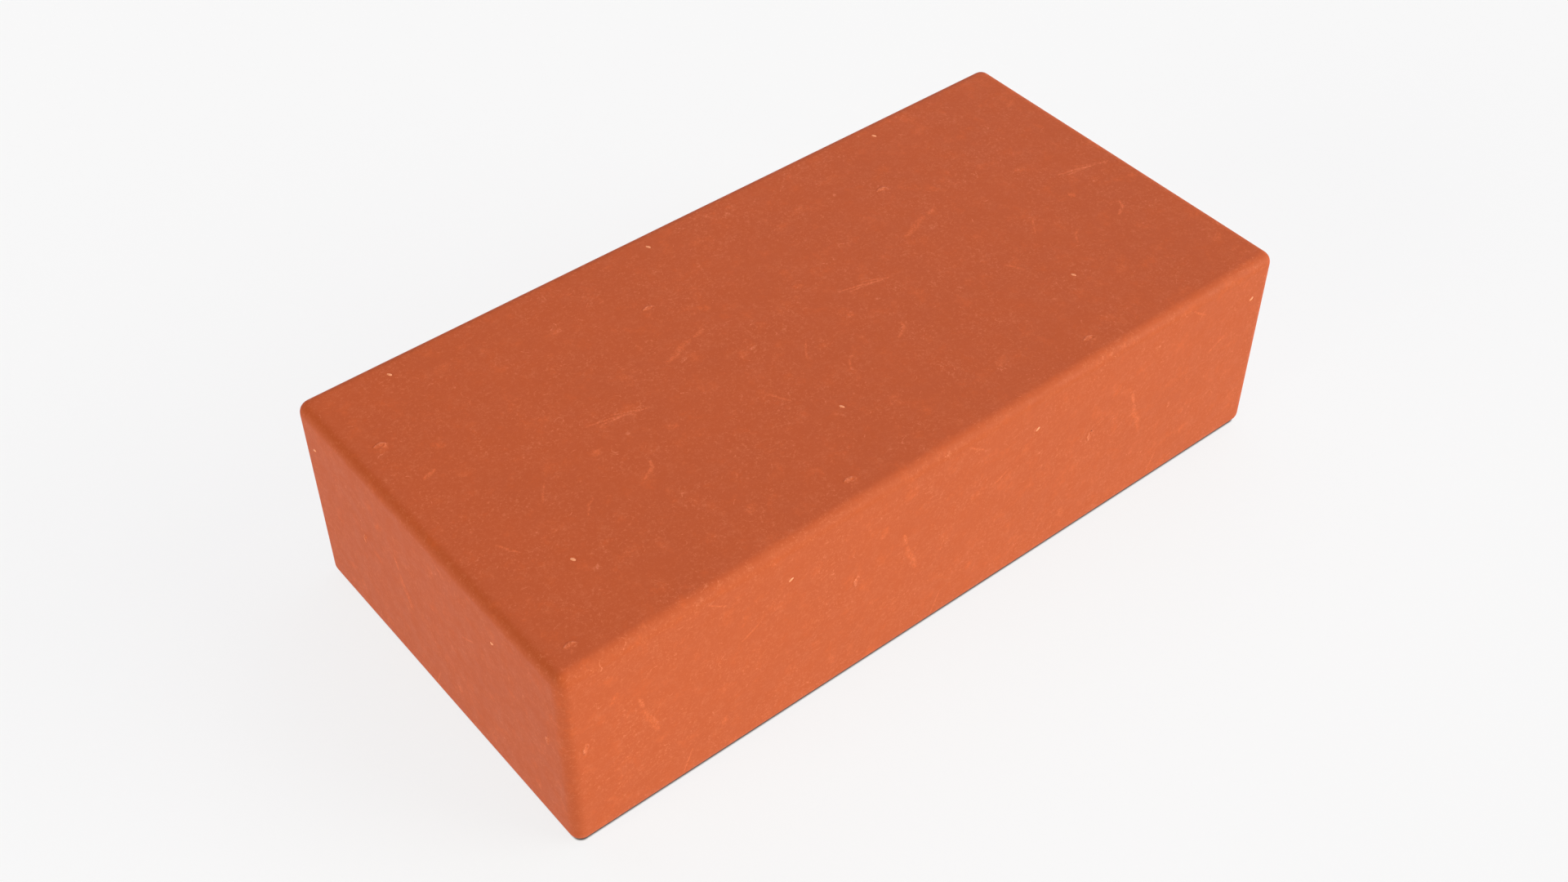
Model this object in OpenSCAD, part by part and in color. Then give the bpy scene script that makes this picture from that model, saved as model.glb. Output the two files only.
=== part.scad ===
// A bar of detailing clay: one pressed block with round edges, and the pale grains of grit that show in its skin.
// Units are millimetres. The origin is the middle of the underside, X runs along the bar and Z is up.

/* [Bar] */
// Length of the bar, along X
bar_length = 100; // [80:1:160]
// Width of the bar, along Y
bar_width = 49.4; // [42:0.2:80]
// Height of the bar, along Z
bar_height = 26.4; // [12:0.2:50]
// Radius of every edge and corner
edge_radius = 1.4; // [0.6:0.1:2.4]

/* [Grit] */
// Diameter of one grain of grit
grain_diameter = 0.7; // [0.4:0.05:0.9]
// How far a grain stands out of the clay
grain_proud = 0.06; // [0.02:0.01:0.1]
// Distance from one grain to the next, along and across the bar
grain_pitch = 34.5; // [25:0.5:60]
// Distance from the left end to the first grain of the broad faces
broad_face_start = 10.1; // [4:0.1:20]
// Distance from the left end to the first grain of the long sides
long_side_start = 27.9; // [4:0.1:40]
// Distance from the back side to the first grain of a row across the bar
cross_start = 2.9; // [2.9:0.1:10]
// Distance from the top face down to the grains of the sides and ends
side_grain_drop = 5.2; // [3.2:0.1:8]

/* [Hidden] */

clay_colour = [0.78, 0.39, 0.25];
grit_colour = [0.98, 0.68, 0.50];
edge_facets = 64;
grain_facets = 32;

// The core is the bar without its round edges.
half_length = bar_length / 2;
half_width = bar_width / 2;
core_length = bar_length - 2 * edge_radius;
core_width = bar_width - 2 * edge_radius;
core_height = bar_height - 2 * edge_radius;

// A grain keeps clear of the round edges, and its centre lies this far under the face.
grain_margin = edge_radius + grain_diameter / 2;
grain_sink = grain_diameter / 2 - grain_proud;

// Places of the grains along X on the broad faces and on the long sides, and along Y across the bar.
function steps(first, last) = [for (place = [first : grain_pitch : last]) place];
broad_row = steps(broad_face_start - half_length, half_length - grain_margin);
side_row = steps(long_side_start - half_length, half_length - grain_margin);
cross_row = [for (place = steps(cross_start, bar_width - grain_margin)) half_width - place];
side_grain_z = bar_height - side_grain_drop;

grain_centres = concat(
    [for (x = broad_row, y = cross_row, z = [grain_sink, bar_height - grain_sink]) [x, y, z]],
    [for (x = side_row, side = [-1, 1]) [x, side * (half_width - grain_sink), side_grain_z]],
    [for (y = cross_row, side = [-1, 1]) [side * (half_length - grain_sink), y, side_grain_z]]
);

// A box centred on X and Y that starts at the given height.
module centred_box(size, bottom) {
    translate([-size[0] / 2, -size[1] / 2, bottom]) cube(size);
}

// A rod of the edge radius and the given length, centred, lying along Z before it is turned.
module edge_rod(length) {
    cylinder(r = edge_radius, h = length, center = true, $fn = edge_facets);
}

// A box with every edge and corner rounded to the same radius.
module rounded_bar() {
    centred_box([bar_length, core_width, core_height], edge_radius);
    centred_box([core_length, bar_width, core_height], edge_radius);
    centred_box([core_length, core_width, bar_height], 0);
    for (y = [-1, 1], z = [edge_radius, bar_height - edge_radius])
        translate([0, y * core_width / 2, z]) rotate([0, 90, 0]) edge_rod(core_length);
    for (x = [-1, 1], z = [edge_radius, bar_height - edge_radius])
        translate([x * core_length / 2, 0, z]) rotate([90, 0, 0]) edge_rod(core_width);
    for (x = [-1, 1], y = [-1, 1])
        translate([x * core_length / 2, y * core_width / 2, bar_height / 2]) edge_rod(core_height);
    for (x = [-1, 1], y = [-1, 1], z = [edge_radius, bar_height - edge_radius])
        translate([x * core_length / 2, y * core_width / 2, z]) sphere(r = edge_radius, $fn = edge_facets);
}

// Every grain as a whole ball, which is also the shape of the pocket that it sits in. Each ball is turned by an
// eighth of a turn, so that the seam of its surface lies inside the clay and not in the mouth of a pocket.
module grain_balls() {
    for (centre = grain_centres)
        translate(centre) rotate([0, 0, 45]) sphere(d = grain_diameter, $fn = grain_facets);
}

// The clay: the rounded bar with a pocket for each grain.
module clay_block() {
    color(clay_colour) difference() {
        rounded_bar();
        grain_balls();
    }
}

// The grains: the ones in the underside are pressed flush with it.
module grit_grains() {
    color(grit_colour) intersection() {
        grain_balls();
        centred_box([2 * bar_length, 2 * bar_width, 2 * bar_height], 0);
    }
}

clay_block();
grit_grains();
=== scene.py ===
# %% [markdown]
# # A bar of detailing clay
# The real thing is one pressed block of clay compound with grit mixed through it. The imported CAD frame
# already holds its true size: a rounded block, and the pale grains that show in its skin, each in its
# own pocket. Blender gives the bar its skin, which is faint relief, small marks and a speckled,
# slightly waxy clay. Everything is in metres, in the frame's own axes: X along the bar, Y across it, Z
# up, origin under its middle.

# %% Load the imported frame
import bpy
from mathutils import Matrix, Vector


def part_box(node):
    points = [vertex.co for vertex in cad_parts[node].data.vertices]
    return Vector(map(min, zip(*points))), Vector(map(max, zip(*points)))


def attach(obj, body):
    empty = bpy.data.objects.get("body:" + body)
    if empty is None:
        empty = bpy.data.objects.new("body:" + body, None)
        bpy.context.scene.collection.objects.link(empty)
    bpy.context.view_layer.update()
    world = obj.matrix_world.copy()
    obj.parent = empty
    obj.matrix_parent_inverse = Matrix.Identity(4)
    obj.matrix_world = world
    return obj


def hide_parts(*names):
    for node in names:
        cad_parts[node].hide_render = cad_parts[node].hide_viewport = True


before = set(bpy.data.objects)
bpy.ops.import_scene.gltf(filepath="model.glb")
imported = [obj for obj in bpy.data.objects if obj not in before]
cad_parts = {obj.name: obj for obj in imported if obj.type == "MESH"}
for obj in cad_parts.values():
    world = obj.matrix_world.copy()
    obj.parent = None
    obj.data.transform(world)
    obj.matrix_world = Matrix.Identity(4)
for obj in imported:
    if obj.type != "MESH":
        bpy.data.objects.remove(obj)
print("CAD nodes:", sorted(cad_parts))

# %% Bring in the tools
import math

import bmesh
import bpy
from mathutils import Matrix, Vector, kdtree, noise

MM = 0.001
scene = bpy.context.scene
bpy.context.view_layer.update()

# %% [markdown]
# ## The camera
# A camera is easiest to keep honest when it is placed from the object. Here it looks at the middle of
# the bar from the front left and well above. The middle of the bar lies a little to the side of the
# middle of the picture, so the camera is pushed sideways and down after it has been turned, and no lens
# shift is needed.

# %% Measure the bar
bar_low, bar_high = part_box("clay_block")
bar_size = bar_high - bar_low
bar_middle = (bar_low + bar_high) / 2
print("bar size in mm:", [round(side / MM, 2) for side in bar_size])

# %% Place the camera
LENS_MM = 45.57
SENSOR_MM = 36.0
CAMERA_AZIMUTH = math.radians(39.12)    # turned from +Y towards +X
CAMERA_DROP = math.radians(44.40)       # looking down by this much
CAMERA_DISTANCE = 2.2856 * bar_size.x
MIDDLE_RIGHT = 0.0229 * bar_size.x      # where the bar's middle lies, right of the line of sight
MIDDLE_UP = 0.0350 * bar_size.x         # and above it


def make_camera():
    forward = Vector((
        math.sin(CAMERA_AZIMUTH) * math.cos(CAMERA_DROP),
        math.cos(CAMERA_AZIMUTH) * math.cos(CAMERA_DROP),
        -math.sin(CAMERA_DROP),
    ))
    right = forward.cross(Vector((0, 0, 1))).normalized()
    up = right.cross(forward)
    turn = Matrix((right, up, -forward)).transposed().to_4x4()
    place = bar_middle - forward * CAMERA_DISTANCE - right * MIDDLE_RIGHT - up * MIDDLE_UP
    camera = bpy.data.objects.new("camera", bpy.data.cameras.new("camera"))
    camera.matrix_world = Matrix.Translation(place) @ turn
    camera.data.lens = LENS_MM
    camera.data.sensor_width = SENSOR_MM
    camera.data.sensor_fit = "HORIZONTAL"
    camera.data.clip_start = 0.01
    scene.collection.objects.link(camera)
    scene.camera = camera
    return camera


camera = make_camera()
print("camera at", [round(value, 4) for value in camera.matrix_world.translation])

# %% [markdown]
# ## The studio
# A product like this is shot on a white sweep with large soft lamps. A sun lamp with a wide angle acts
# as a softbox that is far away: its light is even over the whole floor and its shadow is soft. Most of
# the lamps sit low, at the front right and at the left, so the sides of the bar come out brighter than
# its top. They are not quite alike in colour: the ones behind are pinker than the ones in front. The
# floor glows a little by itself, as a lit table does, so the shadows on it stay faint. Under the bar the
# glow stops, which is a painted contact shadow. A camera near the floor looks out past the floor, so a
# pale dome stands round everything. Only the camera sees the dome, so it adds no light.

# %% Helpers for the studio's own pieces


def mesh_object(mesh, name):
    """Writes a bmesh to an object at the origin."""
    data = bpy.data.meshes.new(name)
    mesh.to_mesh(data)
    mesh.free()
    made = bpy.data.objects.new(name, data)
    scene.collection.objects.link(made)
    return made


def make_stage(mesh, name, grey, glow):
    """Writes a bmesh to a matt piece of the studio that glows by itself."""
    piece = mesh_object(mesh, name)
    material = bpy.data.materials.new("pale_" + name)
    material.use_nodes = True
    surface = material.node_tree.nodes["Principled BSDF"]
    surface.inputs["Base Color"].default_value = (grey, grey, grey, 1)
    surface.inputs["Roughness"].default_value = 1.0
    surface.inputs["Specular IOR Level"].default_value = 0.0
    surface.inputs["Emission Color"].default_value = (1, 1, 1, 1)
    surface.inputs["Emission Strength"].default_value = glow
    piece.data.materials.append(material)
    return piece


print("studio helpers ready")

# %% A floor that glows faintly
FLOOR_SIDE = 12.0
FLOOR_GREY = 0.12
FLOOR_GLOW = 0.823
EDGE_RADIUS = 1.4 * MM      # of every edge and corner of the bar
# The next inset is the reach of the painted contact shadow: the glow fades out there.
PAINTED_SHADOW_INSET = 0.6 * MM       # the glow fades out this far inside the outline of the bar


# A painted contact shadow: the floor's glow is cut out under the bar.
def paint_contact_shadow_under_bar(tree):
    """Paints shade under the bar: the floor there would get no light, so its glow fades out as a painted
    contact shadow.
    """
    place = tree.nodes.new("ShaderNodeTexCoord").outputs["Object"]
    inner = [side / 2 - EDGE_RADIUS for side in bar_size]
    for operation, other in (("ABSOLUTE", None), ("SUBTRACT", inner), ("MAXIMUM", (0, 0, 0))):
        step = tree.nodes.new("ShaderNodeVectorMath")
        step.operation = operation
        tree.links.new(place, step.inputs[0])
        if other is not None:
            step.inputs[1].default_value = other
        place = step.outputs["Vector"]
    beyond = tree.nodes.new("ShaderNodeVectorMath")
    beyond.operation = "LENGTH"
    tree.links.new(place, beyond.inputs[0])
    glow = tree.nodes.new("ShaderNodeMapRange")
    glow.interpolation_type = "SMOOTHSTEP"
    glow.inputs["From Min"].default_value = EDGE_RADIUS - PAINTED_SHADOW_INSET
    glow.inputs["From Max"].default_value = EDGE_RADIUS - PAINTED_SHADOW_INSET / 2
    glow.inputs["To Max"].default_value = FLOOR_GLOW
    tree.links.new(beyond.outputs["Value"], glow.inputs["Value"])
    surface = tree.nodes["Principled BSDF"]
    tree.links.new(glow.outputs["Result"], surface.inputs["Emission Strength"])


floor_mesh = bmesh.new()
bmesh.ops.create_grid(floor_mesh, x_segments=1, y_segments=1, size=FLOOR_SIDE / 2)
floor = make_stage(floor_mesh, "floor", FLOOR_GREY, FLOOR_GLOW)
# Paint the contact shadow under the bar into the floor's glow.
paint_contact_shadow_under_bar(floor.data.materials[0].node_tree)
print("floor side in m:", FLOOR_SIDE)

# %% A pale backdrop for low views
BACKDROP_GLOW = 0.93
BACKDROP_RADIUS = 0.4 * FLOOR_SIDE
BACKDROP_DETAIL = 4


def make_backdrop():
    """A dome round the scene that only the camera sees."""
    mesh = bmesh.new()
    bmesh.ops.create_icosphere(mesh, subdivisions=BACKDROP_DETAIL, radius=BACKDROP_RADIUS)
    bmesh.ops.reverse_faces(mesh, faces=mesh.faces)
    dome = make_stage(mesh, "backdrop", 0, BACKDROP_GLOW)
    dome.visible_diffuse = False
    dome.visible_glossy = False
    dome.visible_transmission = False
    dome.visible_shadow = False
    return dome


backdrop = make_backdrop()
print("backdrop faces:", len(backdrop.data.polygons))

# %% Soft lamps round the bar
LAMP_SPREAD = math.radians(40)
FRONT_TINT = (0.973, 1.020, 0.920)
BACK_TINT = (1.026, 0.980, 1.120)
LEFT_TINT = (1.010, 0.960, 0.760)
# name; azimuth from -Y towards +X and height above the floor, in degrees; strength; tint
LAMPS = [
    ("low_front_right", 45, 8, 0.700, FRONT_TINT),
    ("front_right", 45, 30, 0.450, FRONT_TINT),
    ("low_front", 0, 8, 0.263, FRONT_TINT),
    ("low_left", -90, 8, 0.800, LEFT_TINT),
    ("high_right", 90, 55, 0.248, BACK_TINT),
    ("high_back", 180, 55, 0.150, BACK_TINT),
    ("back_right", 135, 30, 0.129, BACK_TINT),
    ("overhead", 0, 88, 0.085, BACK_TINT),
]


def make_lamp(name, azimuth, height, strength, tint):
    across = math.radians(azimuth)
    above = math.radians(height)
    towards = Vector((
        math.sin(across) * math.cos(above),
        -math.cos(across) * math.cos(above),
        math.sin(above),
    ))
    lamp = bpy.data.objects.new(name, bpy.data.lights.new(name, "SUN"))
    lamp.data.energy = strength * math.pi
    lamp.data.color = tint
    lamp.data.angle = LAMP_SPREAD
    lamp.matrix_world = towards.to_track_quat("Z", "Y").to_matrix().to_4x4()
    scene.collection.objects.link(lamp)
    return lamp


for lamp_row in LAMPS:
    make_lamp(*lamp_row)
print("lamps:", len(LAMPS))

# %% A dark room, and plain colours
world = bpy.data.worlds.new("studio")
world.use_nodes = True
world.node_tree.nodes["Background"].inputs["Color"].default_value = (0, 0, 0, 1)
scene.world = world
scene.view_settings.view_transform = "Standard"
print("view:", scene.view_settings.view_transform)

# %% [markdown]
# ## The clay block
# The bar is pressed in a mould and wiped, so its faces are flat and its edges are all rounded alike. A
# cube, scaled and bevelled, gives exactly that. Its long edges are then cut into short ones, which
# turns each face into an even grid of about a millimetre: enough for the faint waves that every pressed
# face has.

# %% A rounded block
EDGE_STEPS = 8
GRID = 1.1 * MM
SUPPORT = 0.2 * MM      # a line of edges this far inside each face keeps the round edges from shading it


def along_axis(edge, axis):
    """True for an edge that runs along the axis and is too long for a corner."""
    run = edge.verts[1].co - edge.verts[0].co
    return abs(run[axis]) > 2 * EDGE_RADIUS and abs(run[axis]) > 0.999 * run.length


def make_rounded_block():
    mesh = bmesh.new()
    bmesh.ops.create_cube(mesh, size=1)
    bmesh.ops.scale(mesh, vec=bar_size, verts=mesh.verts)
    bmesh.ops.translate(mesh, vec=bar_middle, verts=mesh.verts)
    bmesh.ops.bevel(
        mesh, geom=mesh.edges[:], offset=EDGE_RADIUS, offset_type="OFFSET", affect="EDGES",
        segments=EDGE_STEPS, profile=0.5, material=-1,
    )
    for axis in range(3):
        cuts = int(bar_size[axis] / GRID)
        chosen = [edge for edge in mesh.edges if along_axis(edge, axis)]
        bmesh.ops.subdivide_edges(mesh, edges=chosen, cuts=cuts, use_grid_fill=True)
    for axis in range(3):
        for side in (-1, 1):
            inward = Vector((0, 0, 0))
            inward[axis] = side
            spot = bar_middle + inward * (bar_size[axis] / 2 - EDGE_RADIUS - SUPPORT)
            everything = mesh.verts[:] + mesh.edges[:] + mesh.faces[:]
            bmesh.ops.bisect_plane(mesh, geom=everything, plane_co=spot, plane_no=inward, dist=1e-7)
    return mesh


block_mesh = make_rounded_block()
print("block faces before the marks:", len(block_mesh.faces))

# %% [markdown]
# ## Where the grains lie
# The grains are in the frame, so nothing is measured again: a merged copy of their CAD mesh falls apart
# into separate balls, and the middle of each ball is the place of one grain. The face of the bar that
# is nearest to it says which way the grain looks out.

# %% Find the grains in the frame


def islands(mesh):
    """The vertices of each separate piece of a bmesh."""
    left = set(mesh.verts)
    found = []
    while left:
        todo = [left.pop()]
        piece = []
        while todo:
            vert = todo.pop()
            piece.append(vert)
            for edge in vert.link_edges:
                other = edge.other_vert(vert)
                if other in left:
                    left.remove(other)
                    todo.append(other)
        found.append(piece)
    return found


def face_below(point):
    """The outward direction of the bar's face that is nearest to a point."""
    best = None
    for axis in range(3):
        for side in (-1, 1):
            gap = bar_size[axis] / 2 - side * (point[axis] - bar_middle[axis])
            if best is None or gap < best[0]:
                outward = Vector((0, 0, 0))
                outward[axis] = side
                best = (gap, outward)
    return best[1]


def find_grains():
    copy = bmesh.new()
    copy.from_mesh(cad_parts["grit_grains"].data)
    bmesh.ops.remove_doubles(copy, verts=copy.verts, dist=1e-6)
    grains = []
    for piece in islands(copy):
        lowest = Vector([min(vert.co[axis] for vert in piece) for axis in range(3)])
        highest = Vector([max(vert.co[axis] for vert in piece) for axis in range(3)])
        middle = (lowest + highest) / 2
        outward = face_below(middle)
        reach = max(highest - lowest) / 2
        grains.append((middle, outward, reach))
    copy.free()
    grains.sort(key=lambda grain: tuple(round(value, 5) for value in (*grain[1], *grain[0])))
    return grains


grains = find_grains()
print("grains found:", len(grains))

# %% [markdown]
# ## The marks in the skin
# Clay that has been handled and wiped shows little curled chips, smears, streaks and scratches. They
# come back at an even spacing on each face, as the marks of a roller or of one pressed sheet do. Each
# mark is a short stroke: a few points in millimetres, measured from the nearest grain, with a width, a
# height, and how much paler or ruddier the clay is there. One list of strokes serves every face, turned
# upright on the sides and ends.

# %% The strokes of one patch
PITCH = 34.5
# points (along, across) in mm from the grain; width and height in mm; paleness; ruddiness
STROKES = {
    "curl": (
        [(-7.10, -8.70), (-6.75, -8.56), (-6.35, -8.53), (-5.98, -8.68), (-5.74, -9.02)],
        0.14, 0.080, 0.80, 0.4,
    ),
    "curl_body": ([(-6.98, -8.80), (-6.60, -8.78), (-6.20, -8.80)], 0.16, 0.045, 0.42, 0.7),
    "curl_fold": ([(-5.76, -9.08), (-6.10, -9.16), (-6.45, -9.08)], 0.09, 0.025, 0.45, 0.3),
    "curl_root": ([(-6.35, -8.93), (-6.05, -8.95)], 0.13, -0.030, 0.0, 1.0),
    "curl_tail": ([(-6.62, -9.30), (-6.75, -9.55), (-7.00, -9.80)], 0.11, 0.010, 0.20, 0.4),
    "blob": ([(10.28, -23.60), (10.50, -24.05)], 0.45, 0.020, 0.12, 1.7),
    "long_smear": ([(-10.2, -17.3), (-8.6, -16.9), (-7.4, -16.2), (-6.1, -15.9)], 0.40, 0.010, 0.14, 1.0),
    "smear_tip": ([(-5.4, -15.8), (-3.9, -15.4)], 0.24, 0.015, 0.28, 1.3),
    "scratch_up": ([(11.9, -20.0), (14.4, -20.6), (16.2, -21.1)], 0.14, -0.012, 0.30, 1.0),
    "scratch_long": ([(12.9, -20.75), (15.4, -21.05), (18.6, -21.75)], 0.11, -0.012, 0.45, 1.1),
    "scratch_low": ([(14.8, -20.2), (17.6, -21.4)], 0.13, -0.010, 0.24, 0.9),
    "dots": ([(14.3, -23.5), (14.7, -23.7)], 0.19, 0.015, 0.59, 0.0),
    "vee_left": ([(-4.8, -28.2), (-4.1, -29.6), (-3.6, -30.4)], 0.15, -0.010, 0.20, 0.9),
    "vee_right": ([(4.6, -30.6), (5.4, -29.4), (6.4, -28.9)], 0.15, -0.010, 0.20, 0.9),
    "wipe": ([(12.0, -30.0), (13.0, -29.5), (13.6, -29.1), (13.9, -28.3)], 0.22, 0.010, 0.26, 1.3),
    "hair": ([(3.65, -24.1), (2.9, -25.0), (2.0, -26.3)], 0.13, -0.008, 0.22, 0.9),
    "bright_patch": ([(8.5, -16.2), (9.4, -16.4)], 0.42, 0.006, 0.05, 0.9),
    "light_patch": ([(4.3, -2.9), (5.6, -2.5)], 0.60, 0.006, 0.10, 0.6),
    "far_patch": ([(17.2, -5.8), (18.3, -5.4)], 0.55, 0.006, 0.10, 0.6),
    "right_patch": ([(18.4, -25.5), (19.3, -25.8)], 0.45, 0.006, 0.08, 0.8),
    "red_patch": ([(-2.1, -12.2), (-1.2, -12.9)], 0.50, 0.006, 0.0, 0.8),
}


def patch_axes(outward):
    """The two directions of a patch of marks on a face: it stands upright on the sides and ends."""
    if abs(outward.z) > 0.5:
        return Vector((1, 0, 0)), Vector((0, 1, 0))
    upright = Vector((0, 0, 1))
    return upright, outward.cross(upright)


print("strokes in a patch:", len(STROKES))

# %% Repeat the patch over every face
PATCH_REPEATS = range(-3, 4)


def on_face(point, outward):
    """True for a point on the flat part of the face that looks outward."""
    inside = [
        abs(point[axis] - bar_middle[axis]) < bar_size[axis] / 2 - EDGE_RADIUS
        for axis in range(3)
        if abs(outward[axis]) < 0.5
    ]
    return all(inside)


def place_strokes():
    """Every stroke on the bar: its points in the frame, its face's direction, then its own numbers."""
    placed = []
    done = set()
    for middle, outward, _ in grains:
        if tuple(outward) in done:
            continue
        done.add(tuple(outward))
        along, across = patch_axes(outward)
        depth = bar_size.dot(Vector([abs(value) for value in outward])) / 2
        corner = middle - outward * (middle - bar_middle).dot(outward) + outward * depth
        for step_along in PATCH_REPEATS:
            for step_across in PATCH_REPEATS:
                start = corner + (along * step_along + across * step_across) * PITCH * MM
                for points, *numbers in STROKES.values():
                    line = [start + (along * a + across * b) * MM for a, b in points]
                    if all(on_face(point, outward) for point in line):
                        placed.append((line, outward, *numbers))
    return placed


strokes = place_strokes()
print("strokes on the bar:", len(strokes))

# %% [markdown]
# ## Fine mesh only where it is needed
# A curled chip is barely a millimetre and a half long, so the even grid would miss it. Instead of a
# fine grid everywhere, the edges near each stroke and each grain are halved again and again until they
# are short enough. A k-d tree finds the edges near a point quickly.

# %% Halve the edges near the marks
FINEST = 0.085 * MM
STROKE_REACH = 1.6      # the fine mesh reaches this many widths of a stroke to each side of it
STROKE_DETAIL = 0.62    # the edges on it are about this many widths long
SLACK = 1.45            # an edge up to this much longer than wanted is left alone
LONG_REACH = 0.6        # a long edge may pass near a spot that is this many lengths from its middle
POCKET_MOUTH = 0.8      # the mouth of a pocket lies this far out from its middle, in radii


def line_samples(line, step):
    """Points along a stroke, no further apart than step."""
    samples = [line[0]]
    for start, end in zip(line, line[1:]):
        count = max(1, math.ceil((end - start).length / step))
        samples += [start.lerp(end, number / count) for number in range(1, count + 1)]
    return samples


def refine_near(mesh, spots, wanted):
    """Halves each edge longer than wanted that comes within reach of a spot, until none is left."""
    while True:
        edges = mesh.edges[:]
        tree = kdtree.KDTree(len(edges))
        for number, edge in enumerate(edges):
            tree.insert((edge.verts[0].co + edge.verts[1].co) / 2, number)
        tree.balance()
        chosen = set()
        for spot, reach in spots:
            for _, number, distance in tree.find_range(spot, reach + GRID):
                length = edges[number].calc_length()
                if length > wanted and distance < reach + LONG_REACH * length:
                    chosen.add(edges[number])
        if not chosen:
            return
        ordered = sorted(chosen, key=lambda edge: edge.index)
        bmesh.ops.subdivide_edges(mesh, edges=ordered, cuts=1, use_grid_fill=True, use_single_edge=True)
        mesh.edges.index_update()


def refine_for_marks(mesh):
    """Refines round the widest strokes first, then round the narrow ones and the grains."""
    by_width = {}
    for line, _, width, *_ in strokes:
        by_width.setdefault(width, []).append(line)
    for width in sorted(by_width, reverse=True):
        reach = STROKE_REACH * width * MM
        spots = [(spot, reach) for line in by_width[width] for spot in line_samples(line, reach)]
        refine_near(mesh, spots, max(FINEST, STROKE_DETAIL * width * MM) * SLACK)
    spots = [(middle + outward * reach * POCKET_MOUTH, reach * 1.2) for middle, outward, reach in grains]
    refine_near(mesh, spots, FINEST * SLACK)


mesh_faces = len(block_mesh.faces)
block_mesh.edges.index_update()
refine_for_marks(block_mesh)
print("block faces after the marks:", mesh_faces, "->", len(block_mesh.faces))

# %% [markdown]
# ## Relief
# Each vertex moves in or out along the direction in which the rounded block faces at that point. A bump
# in the material would be cheaper, but real relief shows in the outline and stays in the mesh. The
# waves come from smooth noise and are a hundredth of a millimetre deep. The strokes stand up or are cut
# in, and each grain sits in a shallow dimple with a lip of clay pushed up round it. The underside stays
# flat, because the bar rests on it. Two numbers are kept on each vertex for the material: how pale and
# how ruddy the clay is there.

# %% Measure a point against the block and the strokes
UNEVEN_SIZE = 0.35 * MM


def outward_at(point):
    """The direction in which the rounded block faces at a point of its surface."""
    from_middle = point - bar_middle
    core = Vector([
        max(-(side / 2 - EDGE_RADIUS), min(side / 2 - EDGE_RADIUS, value))
        for side, value in zip(bar_size, from_middle)
    ])
    return (from_middle - core).normalized()


def distance_to_line(point, line):
    """How far a point is from a stroke, and how far along the stroke the nearest point is, from 0 to 1."""
    best = (1e9, 0.0)
    lengths = [(end - start).length for start, end in zip(line, line[1:])]
    total = sum(lengths)
    passed = 0.0
    for start, end, length in zip(line, line[1:], lengths):
        share = max(0.0, min(1.0, (point - start).dot(end - start) / max(length * length, 1e-18)))
        gap = (point - start.lerp(end, share)).length
        if gap < best[0]:
            best = (gap, (passed + share * length) / total)
        passed += length
    return best


def stroke_strength(point, line, width):
    """How much of a stroke there is at a point: it tapers to both ends and is a little uneven."""
    gap, share = distance_to_line(point, line)
    taper = 0.55 + 0.45 * math.sin(math.pi * share)
    uneven = 0.85 + 0.3 * noise.noise(point / UNEVEN_SIZE)
    return math.exp(-((gap / (width * MM * taper)) ** 3)) * uneven


sample_line, sample_width = strokes[0][0], strokes[0][2]
print("strength on a stroke:", round(stroke_strength(sample_line[1], sample_line, sample_width), 2))

# %% Move the vertices
WAVE = 0.012 * MM
WAVE_SIZE = 14 * MM
RIPPLE = 0.003 * MM
RIPPLE_SIZE = 2.5 * MM
DIMPLE = 0.02 * MM
LIP = 0.01 * MM
LIP_PLACE = 1.4     # in radii of the pocket
LIP_SPREAD = 0.4


def add_strokes(mesh_verts, facing, lift, tree, pale_layer, ruddy_layer):
    """Adds the height, paleness and ruddiness of every stroke to the vertices near it."""
    for line, outward, width, height, pale, ruddy in strokes:
        near = set()
        for spot in line_samples(line, width * MM):
            near.update(number for _, number, _ in tree.find_range(spot, 3 * width * MM))
        for number in sorted(near):
            if facing[number].dot(outward) < 0.9:
                continue
            strength = stroke_strength(mesh_verts[number].co, line, width)
            lift[number] += height * MM * strength
            mesh_verts[number][pale_layer] += pale * strength
            mesh_verts[number][ruddy_layer] += ruddy * strength


def add_dimples(lift, tree):
    """Sinks the clay round each grain and raises a lip round the hollow."""
    for middle, outward, reach in grains:
        for spot, number, _ in tree.find_range(middle + outward * reach * POCKET_MOUTH, reach * 2):
            beside = spot - middle
            beside -= outward * beside.dot(outward)
            ring = beside.length / reach
            lift[number] -= DIMPLE * math.exp(-(ring ** 4))
            lift[number] += LIP * math.exp(-(((ring - LIP_PLACE) / LIP_SPREAD) ** 2))


def sculpt(mesh):
    pale_layer = mesh.verts.layers.float.new("pale")
    ruddy_layer = mesh.verts.layers.float.new("ruddy")
    verts = mesh.verts[:]
    facing = [outward_at(vert.co) for vert in verts]
    lift = [
        WAVE * noise.noise(vert.co / WAVE_SIZE) + RIPPLE * noise.noise(vert.co / RIPPLE_SIZE)
        for vert in verts
    ]
    tree = kdtree.KDTree(len(verts))
    for number, vert in enumerate(verts):
        tree.insert(vert.co, number)
    tree.balance()
    add_strokes(verts, facing, lift, tree, pale_layer, ruddy_layer)
    add_dimples(lift, tree)
    lowest = bar_low.z
    for vert, direction, height in zip(verts, facing, lift):
        if direction.z < -0.5:
            height = min(height, 0.0)
        vert.co = vert.co + direction * height
        vert.co.z = max(vert.co.z, lowest)
    print("deepest and highest relief in mm:", round(min(lift) / MM, 3), round(max(lift) / MM, 3))


sculpt(block_mesh)

# %% Turn the block into a piece


def make_piece(mesh, name):
    """Writes a bmesh to a smooth-shaded piece at the origin, with its faces outwards."""
    bmesh.ops.recalc_face_normals(mesh, faces=mesh.faces)
    for face in mesh.faces:
        face.smooth = True
    return mesh_object(mesh, name)


clay = make_piece(block_mesh, "clay_bar")
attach(clay, "root")
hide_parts("clay_block")
print("clay triangles:", sum(len(face.vertices) - 2 for face in clay.data.polygons))

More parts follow.
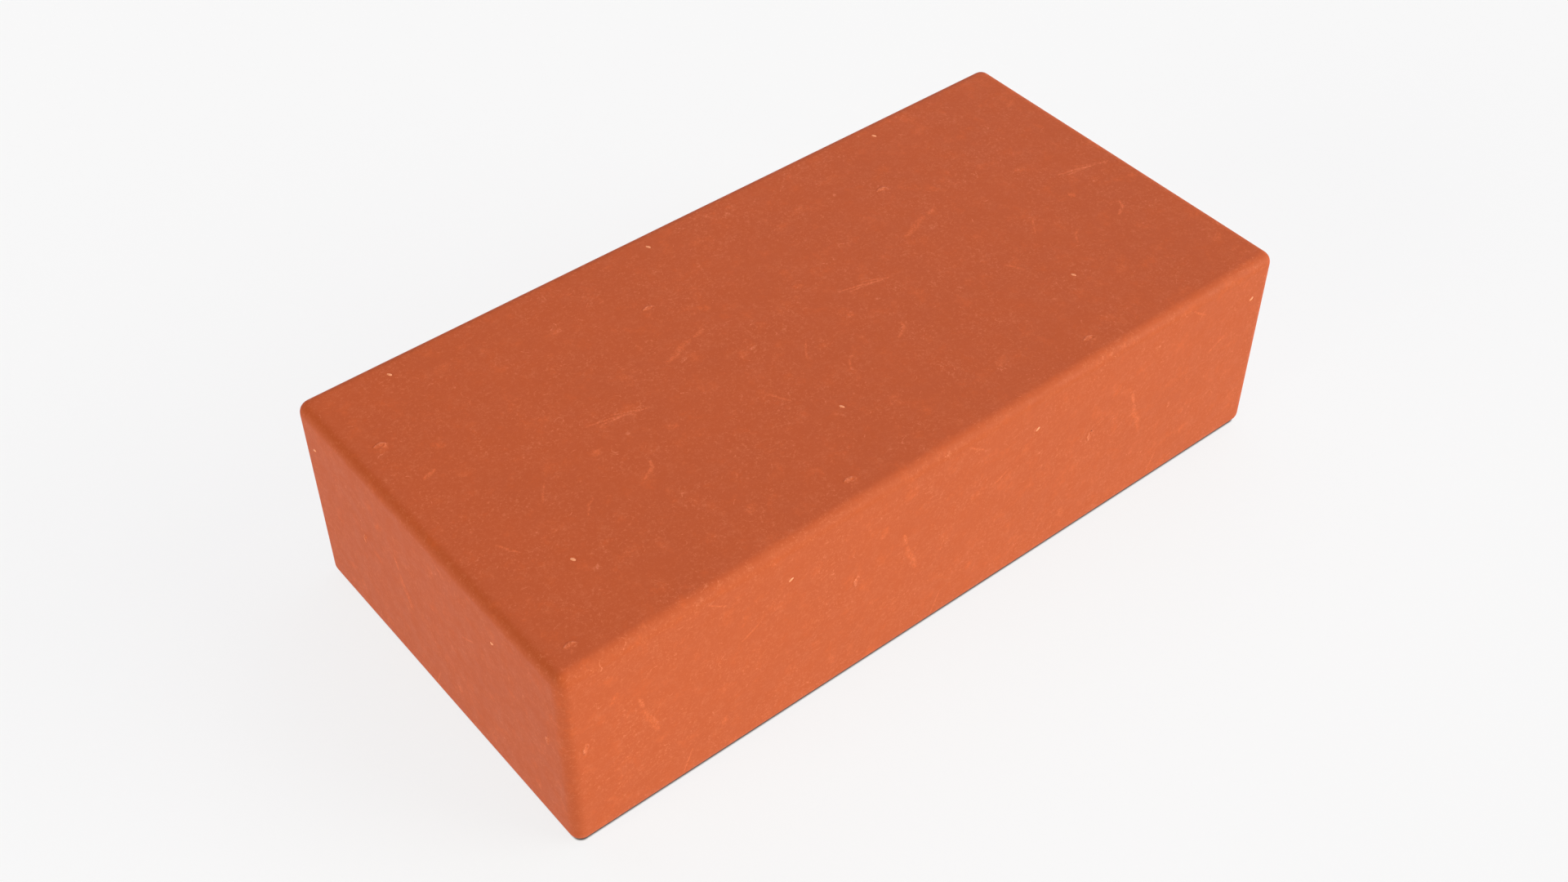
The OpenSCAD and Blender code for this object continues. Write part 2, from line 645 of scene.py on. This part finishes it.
# %% [markdown]
# ## The grains of grit
# A grain is a tiny worn stone with a film of clay on it. A perfect ball would look like a bead, so an
# icosphere is pushed in and out by noise, which gives each grain its own lumpy outline, and then made
# oblong and flat. The grains all lie the same way. Each stands out of its dimple by a hair.

# %% Shape the grains
GRAIN_DETAIL = 3
GRAIN_RISE = 0.48       # the grain's middle lies this far out from the middle of its pocket, in radii
GRAIN_LENGTH = 1.20     # half its length, width and height, also in radii of the pocket
GRAIN_WIDTH = 0.60
GRAIN_HEIGHT = 0.52
GRAIN_LUMPS = 0.16
GRAIN_LUMP_SCALE = 1.6
GRAIN_TURN = math.radians(-64.5)


def make_grains():
    mesh = bmesh.new()
    for number, (middle, outward, reach) in enumerate(grains):
        made = bmesh.ops.create_icosphere(mesh, subdivisions=GRAIN_DETAIL, radius=1)
        seed = Vector((number * 3.7, number * 1.3, 5.0))
        along, across = patch_axes(outward)
        long_way = along * math.cos(GRAIN_TURN) + across * math.sin(GRAIN_TURN)
        short_way = outward.cross(long_way)
        for vert in made["verts"]:
            local = vert.co * (1 + GRAIN_LUMPS * noise.noise(vert.co * GRAIN_LUMP_SCALE + seed))
            spot = long_way * local.x * GRAIN_LENGTH + short_way * local.y * GRAIN_WIDTH
            spot += outward * (GRAIN_RISE + local.z * GRAIN_HEIGHT)
            vert.co = middle + spot * reach
            vert.co.z = max(vert.co.z, bar_low.z)
    return mesh


grit = make_piece(make_grains(), "grit")
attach(grit, "root")
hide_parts("grit_grains")
print("grit triangles:", len(grit.data.polygons))

# %% [markdown]
# ## The clay material
# Up close the clay is an even terracotta orange with a fine speckle of paler dots, soft patches that
# are a little browner or brighter, and a few hair-fine lines. A painted image could hold all that, but
# it would need an unwrapped mesh and would stretch round the edges. So it is noise in Object
# coordinates, which runs through the bar as the real colour does. The marks take their paleness and
# ruddiness from the vertices. The gloss is low and broad, like wax, and one more noise breaks it up.

# %% Helpers for node materials


class Nodes:
    """A short way to build a node tree: add nodes, join them, mix colours."""

    def __init__(self, name):
        self.material = bpy.data.materials.new(name)
        self.material.use_nodes = True
        self.tree = self.material.node_tree
        self.surface = self.tree.nodes["Principled BSDF"]
        self.place = self.add("ShaderNodeTexCoord").outputs["Object"]

    def add(self, kind, **settings):
        node = self.tree.nodes.new(kind)
        for key, value in settings.items():
            setattr(node, key, value)
        return node

    def join(self, source, target):
        if isinstance(source, (int, float)):
            target.default_value = source
        elif isinstance(source, tuple):
            target.default_value = (*source, 1)
        else:
            self.tree.links.new(source, target)

    def noise(self, size, detail=3.0, rough=0.55, shift=0):
        """Noise from 0 to 1 with features of about this size in metres. Shift picks another part of it."""
        where = self.add("ShaderNodeMapping")
        where.inputs["Location"].default_value = (shift, 0.7 * shift, 0.3 * shift)
        where.inputs["Scale"].default_value = (1 / size, 1 / size, 1 / size)
        self.join(self.place, where.inputs["Vector"])
        node = self.add("ShaderNodeTexNoise")
        node.inputs["Scale"].default_value = 1.0
        node.inputs["Detail"].default_value = detail
        node.inputs["Roughness"].default_value = rough
        self.join(where.outputs["Vector"], node.inputs["Vector"])
        return node.outputs["Fac"]

    def ramp(self, value, low, high):
        """Spreads a value so that low becomes 0 and high becomes 1, smoothly."""
        node = self.add("ShaderNodeMapRange", interpolation_type="SMOOTHSTEP")
        self.join(value, node.inputs["Value"])
        node.inputs["From Min"].default_value = low
        node.inputs["From Max"].default_value = high
        return node.outputs["Result"]

    def combine(self, operation, one, two):
        node = self.add("ShaderNodeMath", operation=operation)
        self.join(one, node.inputs[0])
        self.join(two, node.inputs[1])
        return node.outputs["Value"]

    def plus(self, one, two):
        return self.combine("ADD", one, two)

    def times(self, one, two):
        return self.combine("MULTIPLY", one, two)

    def mix(self, share, one, two):
        """Mixes two colours by a share from 0 to 1."""
        node = self.add("ShaderNodeMix", data_type="RGBA")
        self.join(share, node.inputs["Factor"])
        self.join(one, node.inputs["A"])
        self.join(two, node.inputs["B"])
        return node.outputs["Result"]

    def vertex_value(self, name):
        return self.add("ShaderNodeAttribute", attribute_name=name).outputs["Fac"]

    def bump(self, height, distance):
        """Lets a height from 0 to 1 tilt the surface, as if it were this deep in metres."""
        node = self.add("ShaderNodeBump")
        node.inputs["Strength"].default_value = 1.0
        node.inputs["Distance"].default_value = distance
        self.join(height, node.inputs["Height"])
        self.join(node.outputs["Normal"], self.surface.inputs["Normal"])


print("node helper ready")

# %% The colours of the clay
CLAY_ORANGE = (0.494, 0.0882, 0.0214)
CLAY_BROWN = (0.480, 0.0862, 0.0214)
CLAY_BRIGHT = (0.620, 0.1125, 0.0262)
CLAY_PALE = (0.715, 0.2040, 0.0920)
PATCH_SIZE = 9 * MM
BLUSH_SIZE = 2.4 * MM
BLUSH = 0.6


def clay_ground(nodes):
    """Even orange with faint browner patches and brighter spots."""
    patches = nodes.ramp(nodes.noise(PATCH_SIZE, detail=3), 0.30, 0.70)
    ground = nodes.mix(patches, CLAY_BROWN, CLAY_ORANGE)
    blush = nodes.ramp(nodes.noise(BLUSH_SIZE, detail=4, rough=0.75, shift=3), 0.50, 0.80)
    return nodes.mix(nodes.times(blush, BLUSH), ground, CLAY_BRIGHT)


print("clay colours:", CLAY_ORANGE, CLAY_BROWN, CLAY_BRIGHT, CLAY_PALE)

# %% Specks and hairs
MOTTLE_SIZE = 1.3 * MM
MOTTLE = 0.20
SPECK_SIZE = 0.42 * MM
DUST_SIZE = 5.0 * MM        # from an area with many specks to one with few
FEW_SPECKS = 0.13
MORE_SPECKS = 0.52
HAIR_SIZE = 3.4 * MM
HAIR_THIN = 0.002
HAIR_THICK = 0.011
HAIR_BREAKS = 1.6 * MM      # the hairs show only here and there
HAIRS = 0.7


def pale_specks(nodes):
    """Cloudy mottling and fine specks, which lie thicker in the dusty areas."""
    mottle = nodes.ramp(nodes.noise(MOTTLE_SIZE, detail=4, rough=0.9, shift=7), 0.45, 0.80)
    specks = nodes.ramp(nodes.noise(SPECK_SIZE, detail=3, rough=0.95, shift=11), 0.50, 0.74)
    dusty = nodes.ramp(nodes.noise(DUST_SIZE, detail=3, shift=13), 0.25, 0.75)
    amount = nodes.plus(nodes.times(dusty, MORE_SPECKS), FEW_SPECKS)
    return nodes.plus(nodes.times(mottle, MOTTLE), nodes.times(specks, amount))


def pale_hairs(nodes, crumbs):
    """Thin lines that run where a soft noise crosses its middle value."""
    middle = nodes.combine("SUBTRACT", nodes.noise(HAIR_SIZE, detail=2, shift=17), 0.5)
    from_line = nodes.ramp(nodes.combine("ABSOLUTE", middle, 0), HAIR_THIN, HAIR_THICK)
    hair = nodes.combine("SUBTRACT", 1.0, from_line)
    here = nodes.ramp(nodes.noise(HAIR_BREAKS, detail=2, shift=19), 0.54, 0.68)
    return nodes.times(nodes.times(nodes.times(hair, here), crumbs), HAIRS)


print("smallest specks in mm:", round(SPECK_SIZE / MM, 2))

# %% The whole skin colour
CRUMB_SIZE = 0.26 * MM
CRUMB_SHARE = 1.1
CRUMB_LEAST = 0.2
SOLID_FROM = 0.60       # a mark paler than this is solid and doesn't break up into crumbs
SOLID_TO = 0.85
SOLID = 0.85


def clay_colour(nodes):
    """The ground, and over it the specks, the hairs and the marks of the skin."""
    crumbs = nodes.ramp(nodes.noise(CRUMB_SIZE, detail=2, rough=0.8, shift=23), 0.42, 0.62)
    crumbly = nodes.plus(nodes.times(crumbs, CRUMB_SHARE), CRUMB_LEAST)
    mark = nodes.vertex_value("pale")
    solid = nodes.times(nodes.ramp(mark, SOLID_FROM, SOLID_TO), SOLID)
    pale_mark = nodes.combine("MAXIMUM", nodes.times(mark, crumbly), solid)
    pale = nodes.plus(nodes.plus(pale_specks(nodes), pale_hairs(nodes, crumbs)), pale_mark)
    ruddy = nodes.times(nodes.vertex_value("ruddy"), crumbly)
    return nodes.mix(pale, nodes.mix(ruddy, clay_ground(nodes), CLAY_BRIGHT), CLAY_PALE)


print("marks are solid from a paleness of", SOLID_FROM)

# %% Build the clay
TOOTH_SIZE = 0.16 * MM
PIT_SIZE = 0.9 * MM
PIT_SHARE = 0.65
SKIN_DEPTH = 0.014 * MM
DULL_SIZE = 1.8 * MM
LEAST_ROUGH = 0.54
MOST_ROUGH = 0.64
WAX_GLOSS = 0.175


def make_clay():
    nodes = Nodes("speckled_clay")
    nodes.join(clay_colour(nodes), nodes.surface.inputs["Base Color"])

    grain = nodes.times(nodes.noise(TOOTH_SIZE, detail=3), 1 - PIT_SHARE)
    pits = nodes.times(nodes.noise(PIT_SIZE, detail=4), PIT_SHARE)
    nodes.bump(nodes.plus(grain, pits), SKIN_DEPTH)

    dull = nodes.ramp(nodes.noise(DULL_SIZE, detail=4), 0.2, 0.8)
    spread = nodes.add("ShaderNodeMapRange")
    nodes.join(dull, spread.inputs["Value"])
    spread.inputs["To Min"].default_value = LEAST_ROUGH
    spread.inputs["To Max"].default_value = MOST_ROUGH
    nodes.join(spread.outputs["Result"], nodes.surface.inputs["Roughness"])
    nodes.surface.inputs["Specular IOR Level"].default_value = WAX_GLOSS
    return nodes.material


clay.data.materials.append(make_clay())
print("clay material on", clay.name)

# %% [markdown]
# ## The grit material
# The grains are the palest thing on the bar, but clay sticks to them, so no grain is one clean colour.
# A fine noise mixes cream with clay-stained cream, and a fine bump roughens the stone.

# %% Build the grit
GRIT_CREAM = (0.880, 0.340, 0.150)
GRIT_STAIN = (0.780, 0.215, 0.080)
GRIT_FILM_SIZE = 0.18 * MM
GRIT_PIT_SIZE = 0.08 * MM
GRIT_DEPTH = 0.02 * MM
GRIT_ROUGH = 0.45


def make_grit():
    nodes = Nodes("clay_filmed_grit")
    film = nodes.ramp(nodes.noise(GRIT_FILM_SIZE, detail=3), 0.40, 0.75)
    nodes.join(nodes.mix(film, GRIT_CREAM, GRIT_STAIN), nodes.surface.inputs["Base Color"])
    nodes.bump(nodes.noise(GRIT_PIT_SIZE, detail=3), GRIT_DEPTH)
    nodes.surface.inputs["Roughness"].default_value = GRIT_ROUGH
    return nodes.material


grit.data.materials.append(make_grit())
print("grit material on", grit.name)
